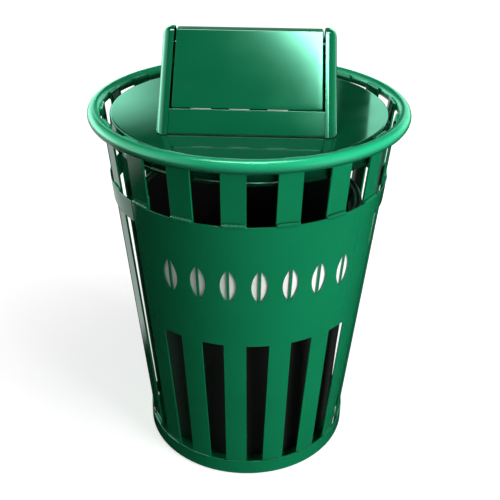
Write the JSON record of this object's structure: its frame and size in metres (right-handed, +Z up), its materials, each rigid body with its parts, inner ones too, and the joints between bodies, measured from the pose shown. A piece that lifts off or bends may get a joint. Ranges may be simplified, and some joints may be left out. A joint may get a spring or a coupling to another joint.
{
  "type": "slatted compost bin with swing-top lid",
  "caption": "Round slatted steel compost bin with a front sheet of leaf-shaped cut-outs, a lift-out liner and a lift-off lid that carries a gravity-closing swing flap.",
  "frame": {"origin": "middle of the bin's footprint on the floor, under the middle of the rim", "axes": "+Z up; the hood's front faces -Y and the flap's pivot lies along X; the middle of the front sheet is turned 6.7 degrees from -Y towards +X, as in the picture"},
  "size_m": [0.711, 0.711, 1.039],
  "materials": {
    "green_powder_coat": "glossy powder coat with a light ripple",
    "bright_green_powder_coat": "glossy powder coat",
    "black_polyethylene": "satin moulded polyethylene",
    "white_acrylic": "white sheet",
    "zinc_plated_steel": "zinc plated",
    "black_rubber": "matte rubber",
    "natural_nylon": "natural nylon"
  },
  "bodies": {
    "frame": {"top_ring": "bright_green_powder_coat", "slat_01": "green_powder_coat", "slat_02": "green_powder_coat", "slat_03": "green_powder_coat", "slat_04": "green_powder_coat", "slat_05": "green_powder_coat", "slat_06": "green_powder_coat", "slat_07": "green_powder_coat", "slat_08": "green_powder_coat", "slat_09": "green_powder_coat", "slat_10": "green_powder_coat", "slat_11": "green_powder_coat", "slat_12": "green_powder_coat", "short_slat_1": "green_powder_coat", "short_slat_2": "green_powder_coat", "short_slat_3": "green_powder_coat", "short_slat_4": "green_powder_coat", "short_slat_5": "green_powder_coat", "short_slat_6": "green_powder_coat", "upper_band": "green_powder_coat", "front_sheet": "green_powder_coat", "sign_backing": "white_acrylic", "bottom_band": "green_powder_coat", "base_plate": "green_powder_coat", "foot_1": "black_rubber", "foot_2": "black_rubber", "foot_3": "black_rubber", "foot_4": "black_rubber", "foot_screw_1": "zinc_plated_steel", "foot_screw_2": "zinc_plated_steel", "foot_screw_3": "zinc_plated_steel", "foot_screw_4": "zinc_plated_steel", "lid_lug_1": "green_powder_coat", "lid_lug_2": "green_powder_coat", "lid_lug_3": "green_powder_coat", "lid_lug_4": "green_powder_coat"},
    "liner": {"liner": "black_polyethylene"},
    "lid": {"lid_disc": "green_powder_coat", "lid_skirt": "green_powder_coat", "hood_cheek_left": "green_powder_coat", "hood_cheek_right": "green_powder_coat", "hood_front_panel": "green_powder_coat", "hood_rear_panel": "green_powder_coat", "pivot_rod": "zinc_plated_steel", "bushing_left": "natural_nylon", "bushing_right": "natural_nylon", "spacer_left": "zinc_plated_steel", "spacer_right": "zinc_plated_steel", "pivot_socket_left": "green_powder_coat", "pivot_socket_right": "green_powder_coat", "flap_stop_front_left": "black_rubber", "flap_stop_front_right": "black_rubber", "flap_stop_rear_left": "black_rubber", "flap_stop_rear_right": "black_rubber"},
    "flap": {"swing_flap": "green_powder_coat", "flap_ear_left": "green_powder_coat", "flap_ear_right": "green_powder_coat", "flap_sleeve": "green_powder_coat"}
  },
  "joints": [
    {"name": "liner_lift", "type": "slide", "parent": "frame", "child": "liner", "axis": [0, 0, 1], "range_m": [0, 0.86]},
    {"name": "lid_lift", "type": "slide", "parent": "liner", "child": "lid", "axis": [0, 0, 1], "range_m": [0, 0.3]},
    {"name": "flap_swing", "type": "hinge", "parent": "lid", "child": "flap", "pos_m": [0, 0, 1.002], "axis": [1, 0, 0], "range_deg": [-40, 40]}
  ]
}
